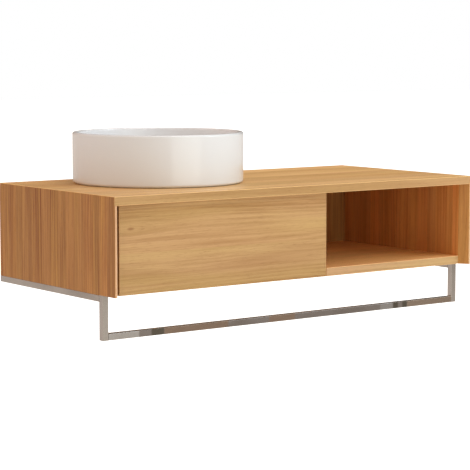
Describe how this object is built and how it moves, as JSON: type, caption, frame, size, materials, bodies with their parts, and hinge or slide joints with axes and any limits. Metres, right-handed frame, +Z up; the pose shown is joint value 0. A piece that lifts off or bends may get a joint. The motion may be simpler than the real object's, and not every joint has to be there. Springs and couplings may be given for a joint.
{
  "type": "wall-hung washstand with vessel sink",
  "caption": "Wall-hung hardwood washstand with a round ceramic vessel sink, a full-extension drawer, an open niche and a square steel towel rail.",
  "frame": {"origin": "centre of the wall screws, on the wall plane, at mid-width", "axes": "+X right along the wall, +Y into the wall, +Z up; the drawer opens along -Y"},
  "size_m": [1.05, 0.5, 0.44],
  "materials": {
    "hardwood": "oiled hardwood, satin",
    "drawer_wood": "pale oiled hardwood",
    "plywood": "birch plywood, clear lacquer",
    "beech": "planed beech",
    "polished_steel": "polished stainless steel",
    "zinc_plate": "zinc-plated steel",
    "cage_plastic": "natural nylon",
    "black_plastic": "moulded, fine texture",
    "glaze": "white glaze, glossy",
    "silicone": "clear silicone",
    "chrome": "polished chrome plate",
    "rubber": "black rubber",
    "white_plastic": "moulded polypropylene"
  },
  "bodies": {
    "cabinet": {"back_panel": "hardwood", "basin": "glaze", "basin_seal": "silicone", "bottom_board": "hardwood", "case_dowels": "beech", "cleat_screws": "zinc_plate", "divider": "hardwood", "divider_bumpers": "rubber", "flange_washer": "rubber", "frame_screws": "zinc_plate", "hanging_cleat": "plywood", "outlet_pipe": "white_plastic", "post_caps": "polished_steel", "post_left": "polished_steel", "post_right": "polished_steel", "rail_caps": "black_plastic", "rail_left": "polished_steel", "rail_plugs": "black_plastic", "rail_right": "polished_steel", "runner_fixed_screws": "zinc_plate", "runner_left_fixed": "zinc_plate", "runner_right_fixed": "zinc_plate", "side_panel_left": "hardwood", "side_panel_right": "hardwood", "spacer_batten": "plywood", "top_board": "hardwood", "towel_bar": "polished_steel", "trap_body": "white_plastic", "trap_cup": "white_plastic", "trap_inlet_nut": "white_plastic", "trap_inlet_pipe": "white_plastic", "trap_inlet_seal": "rubber", "trap_neck_nut": "white_plastic", "trap_outlet_nut": "white_plastic", "wall_cleat": "plywood", "waste_body": "chrome", "waste_gasket": "rubber", "waste_nut": "white_plastic"},
    "drawer": {"drawer_back_left": "drawer_wood", "drawer_back_right": "drawer_wood", "drawer_bottom": "plywood", "drawer_front": "hardwood", "drawer_front_screws": "zinc_plate", "drawer_side_left": "drawer_wood", "drawer_side_right": "drawer_wood", "drawer_subfront": "drawer_wood", "notch_wall_front": "drawer_wood", "notch_wall_left": "drawer_wood", "notch_wall_right": "drawer_wood", "runner_drawer_screws": "zinc_plate", "runner_left_drawer": "zinc_plate", "runner_right_drawer": "zinc_plate"},
    "runner_middles": {"runner_left_middle": "zinc_plate", "runner_right_middle": "zinc_plate"},
    "outer_cages": {"runner_left_outer_cage": "cage_plastic", "runner_right_outer_cage": "cage_plastic"},
    "inner_cages": {"runner_left_inner_cage": "cage_plastic", "runner_right_inner_cage": "cage_plastic"},
    "plug": {"waste_plug": "chrome", "plug_seal": "rubber"}
  },
  "joints": [
    {"name": "drawer_slide", "type": "slide", "parent": "cabinet", "child": "drawer", "axis": [0, -1, 0], "range_m": [0, 0.4]},
    {"name": "middle_slide", "type": "slide", "parent": "cabinet", "child": "runner_middles", "axis": [0, -1, 0], "range_m": [0, 0.2]},
    {"name": "outer_cage_slide", "type": "slide", "parent": "cabinet", "child": "outer_cages", "axis": [0, -1, 0], "range_m": [0, 0.1]},
    {"name": "inner_cage_slide", "type": "slide", "parent": "cabinet", "child": "inner_cages", "axis": [0, -1, 0], "range_m": [0, 0.3]},
    {"name": "plug_lift", "type": "slide", "parent": "cabinet", "child": "plug", "axis": [0, 0, 1], "range_m": [0, 0.008]}
  ],
  "couplings": [
    {"joint": "middle_slide", "follows": "drawer_slide", "ratio": 0.5},
    {"joint": "outer_cage_slide", "follows": "drawer_slide", "ratio": 0.25},
    {"joint": "inner_cage_slide", "follows": "drawer_slide", "ratio": 0.75}
  ]
}
